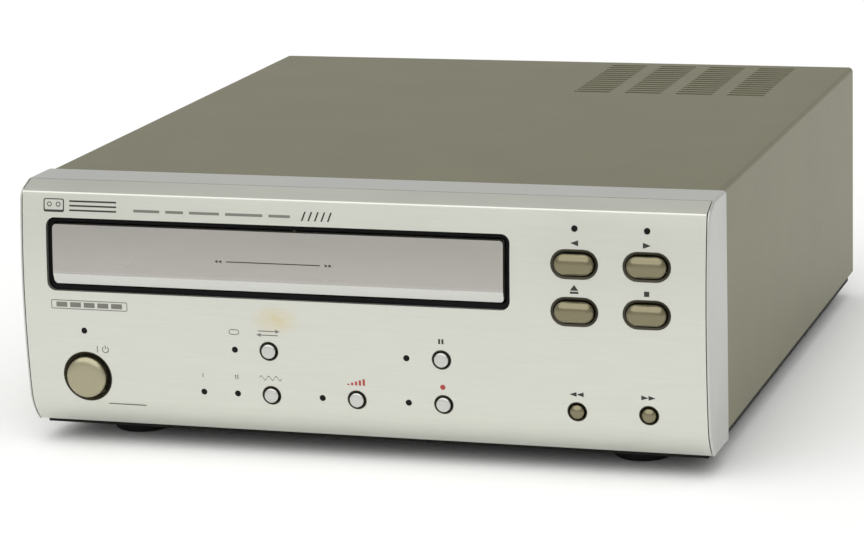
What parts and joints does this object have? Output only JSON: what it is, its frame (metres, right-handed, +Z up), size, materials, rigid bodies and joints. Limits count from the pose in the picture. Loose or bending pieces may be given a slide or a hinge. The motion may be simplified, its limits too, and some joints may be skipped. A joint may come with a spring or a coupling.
{
  "type": "cassette deck",
  "caption": "Compact stereo cassette deck: silver bowed front, motorised drawer for a flat cassette, transport and power buttons, painted steel cover with rear vents.",
  "frame": {"origin": "middle of the deck's footprint, on the surface that its feet stand on", "axes": "+X to the right seen from the front, +Y to the rear, +Z up"},
  "size_m": [0.21, 0.2432, 0.0804],
  "materials": {
    "silver_plate": "fine brushed satin",
    "silver_plastic": "silver paint, satin",
    "drawer_metal": "satin",
    "cover_paint": "champagne-grey metallic paint, fine texture",
    "chassis_steel": "black, satin",
    "zinc_steel": "zinc plated",
    "black_plastic": "satin black",
    "gold_metal": "champagne-gold metallised, satin",
    "button_silver": "silver metallised, satin",
    "rubber": "matt",
    "indicator": "dark smoked lens",
    "circuit_board": "green solder resist",
    "white_plastic": "natural acetal",
    "brass": "turned",
    "transformer_core": "varnished laminations"
  },
  "bodies": {
    "case": {"bottom_chassis": "chassis_steel", "cover_screw_left": "chassis_steel", "cover_screw_middle": "chassis_steel", "cover_screw_right": "chassis_steel", "drawer_rail_left": "white_plastic", "drawer_rail_right": "white_plastic", "drawer_surround": "black_plastic", "face_plate": "silver_plate", "foot_front_left": "rubber", "foot_front_right": "rubber", "foot_rear_left": "rubber", "foot_rear_right": "rubber", "front_bezel": "silver_plastic", "front_board": "circuit_board", "indicator_filter_b": "indicator", "indicator_filter_c": "indicator", "indicator_pause": "indicator", "indicator_play_forward": "indicator", "indicator_play_reverse": "indicator", "indicator_power": "indicator", "indicator_record": "indicator", "indicator_record_level": "indicator", "indicator_reverse_mode": "indicator", "jack_block": "black_plastic", "loading_motor": "transformer_core", "main_board": "circuit_board", "mains_inlet": "black_plastic", "mechanism_frame": "zinc_steel", "rear_panel": "zinc_steel", "top_cover": "cover_paint", "transformer": "transformer_core"},
    "drawer": {"drawer_tray": "black_plastic", "drawer_front": "drawer_metal"},
    "loading_gear": {"loading_gear": "white_plastic"},
    "mechanism": {"mechanism_base": "zinc_steel", "capstan_motor": "zinc_steel", "drive_belt": "rubber"},
    "reel_left": {"reel_hub_left": "white_plastic"},
    "reel_right": {"reel_hub_right": "white_plastic"},
    "capstan_left": {"flywheel_left": "zinc_steel"},
    "capstan_right": {"flywheel_right": "zinc_steel"},
    "motor_pulley": {"motor_pulley": "brass"},
    "head_carriage": {"head_plate": "zinc_steel", "tape_head": "zinc_steel"},
    "pinch_arm_left": {"pinch_arm_left": "zinc_steel"},
    "pinch_arm_right": {"pinch_arm_right": "zinc_steel"},
    "pinch_roller_left": {"pinch_roller_left": "rubber"},
    "pinch_roller_right": {"pinch_roller_right": "rubber"},
    "button_eject": {"button_eject": "gold_metal"},
    "button_fast_forward": {"button_fast_forward": "gold_metal"},
    "button_noise_reduction": {"button_noise_reduction": "button_silver"},
    "button_pause": {"button_pause": "button_silver"},
    "button_play_forward": {"button_play_forward": "gold_metal"},
    "button_play_reverse": {"button_play_reverse": "gold_metal"},
    "button_power": {"button_power": "gold_metal"},
    "button_record": {"button_record": "button_silver"},
    "button_record_level": {"button_record_level": "button_silver"},
    "button_reverse_mode": {"button_reverse_mode": "button_silver"},
    "button_rewind": {"button_rewind": "gold_metal"},
    "button_stop": {"button_stop": "gold_metal"}
  },
  "joints": [
    {"name": "drawer_slide", "type": "slide", "parent": "case", "child": "drawer", "axis": [0, -1, 0], "range_m": [0, 0.076]},
    {"name": "loading_gear_turn", "type": "hinge", "parent": "case", "child": "loading_gear", "pos_m": [0.05695, -0.04679, 0.0544], "axis": [0, 0, 1], "range_deg": [0, 292.3]},
    {"name": "mechanism_lift", "type": "slide", "parent": "case", "child": "mechanism", "axis": [0, 0, 1], "range_m": [0, 0.0105]},
    {"name": "reel_turn_left", "type": "hinge", "parent": "mechanism", "child": "reel_left", "pos_m": [-0.046, -0.08329, 0.0404], "axis": [0, 0, 1], "continuous": true},
    {"name": "reel_turn_right", "type": "hinge", "parent": "mechanism", "child": "reel_right", "pos_m": [-0.0035, -0.08329, 0.0404], "axis": [0, 0, 1], "continuous": true},
    {"name": "capstan_turn_left", "type": "hinge", "parent": "mechanism", "child": "capstan_left", "pos_m": [-0.05575, -0.05509, 0.0354], "axis": [0, 0, 1], "continuous": true},
    {"name": "capstan_turn_right", "type": "hinge", "parent": "mechanism", "child": "capstan_right", "pos_m": [0.00625, -0.05509, 0.0354], "axis": [0, 0, 1], "continuous": true},
    {"name": "motor_turn", "type": "hinge", "parent": "mechanism", "child": "motor_pulley", "pos_m": [0.01925, -0.03069, 0.0294], "axis": [0, 0, 1], "continuous": true},
    {"name": "head_slide", "type": "slide", "parent": "mechanism", "child": "head_carriage", "axis": [0, -1, 0], "range_m": [0, 0.008]},
    {"name": "pinch_swing_left", "type": "hinge", "parent": "mechanism", "child": "pinch_arm_left", "pos_m": [-0.06675, -0.03409, 0.0398], "axis": [0, 0, -1], "range_deg": [0, 28]},
    {"name": "pinch_roll_left", "type": "hinge", "parent": "pinch_arm_left", "child": "pinch_roller_left", "pos_m": [-0.05018, -0.04182, 0.0448], "axis": [0, 0, 1], "continuous": true},
    {"name": "pinch_swing_right", "type": "hinge", "parent": "mechanism", "child": "pinch_arm_right", "pos_m": [0.01725, -0.03409, 0.0398], "axis": [0, 0, 1], "range_deg": [0, 28]},
    {"name": "pinch_roll_right", "type": "hinge", "parent": "pinch_arm_right", "child": "pinch_roller_right", "pos_m": [0.00068, -0.04182, 0.0448], "axis": [0, 0, 1], "continuous": true},
    {"name": "button_eject_press", "type": "slide", "parent": "case", "child": "button_eject", "axis": [0, 1, 0], "range_m": [0, 0.0008], "stiffness_N_per_m": 900, "springref_m": -0.0006},
    {"name": "button_fast_forward_press", "type": "slide", "parent": "case", "child": "button_fast_forward", "axis": [0, 1, 0], "range_m": [0, 0.0008], "stiffness_N_per_m": 900, "springref_m": -0.0006},
    {"name": "button_noise_reduction_press", "type": "slide", "parent": "case", "child": "button_noise_reduction", "axis": [0, 1, 0], "range_m": [0, 0.0008], "stiffness_N_per_m": 900, "springref_m": -0.0006},
    {"name": "button_pause_press", "type": "slide", "parent": "case", "child": "button_pause", "axis": [0, 1, 0], "range_m": [0, 0.0008], "stiffness_N_per_m": 900, "springref_m": -0.0006},
    {"name": "button_play_forward_press", "type": "slide", "parent": "case", "child": "button_play_forward", "axis": [0, 1, 0], "range_m": [0, 0.0008], "stiffness_N_per_m": 900, "springref_m": -0.0006},
    {"name": "button_play_reverse_press", "type": "slide", "parent": "case", "child": "button_play_reverse", "axis": [0, 1, 0], "range_m": [0, 0.0008], "stiffness_N_per_m": 900, "springref_m": -0.0006},
    {"name": "button_power_press", "type": "slide", "parent": "case", "child": "button_power", "axis": [0, 1, 0], "range_m": [0, 0.0008], "stiffness_N_per_m": 1200, "springref_m": -0.0006},
    {"name": "button_record_press", "type": "slide", "parent": "case", "child": "button_record", "axis": [0, 1, 0], "range_m": [0, 0.0008], "stiffness_N_per_m": 900, "springref_m": -0.0006},
    {"name": "button_record_level_press", "type": "slide", "parent": "case", "child": "button_record_level", "axis": [0, 1, 0], "range_m": [0, 0.0008], "stiffness_N_per_m": 900, "springref_m": -0.0006},
    {"name": "button_reverse_mode_press", "type": "slide", "parent": "case", "child": "button_reverse_mode", "axis": [0, 1, 0], "range_m": [0, 0.0008], "stiffness_N_per_m": 900, "springref_m": -0.0006},
    {"name": "button_rewind_press", "type": "slide", "parent": "case", "child": "button_rewind", "axis": [0, 1, 0], "range_m": [0, 0.0008], "stiffness_N_per_m": 900, "springref_m": -0.0006},
    {"name": "button_stop_press", "type": "slide", "parent": "case", "child": "button_stop", "axis": [0, 1, 0], "range_m": [0, 0.0008], "stiffness_N_per_m": 900, "springref_m": -0.0006}
  ],
  "couplings": [
    {"joint": "loading_gear_turn", "follows": "drawer_slide", "rad_per_m": 66.667},
    {"joint": "capstan_turn_right", "follows": "capstan_turn_left", "ratio": -1},
    {"joint": "motor_turn", "follows": "capstan_turn_left", "ratio": 3.5}
  ]
}
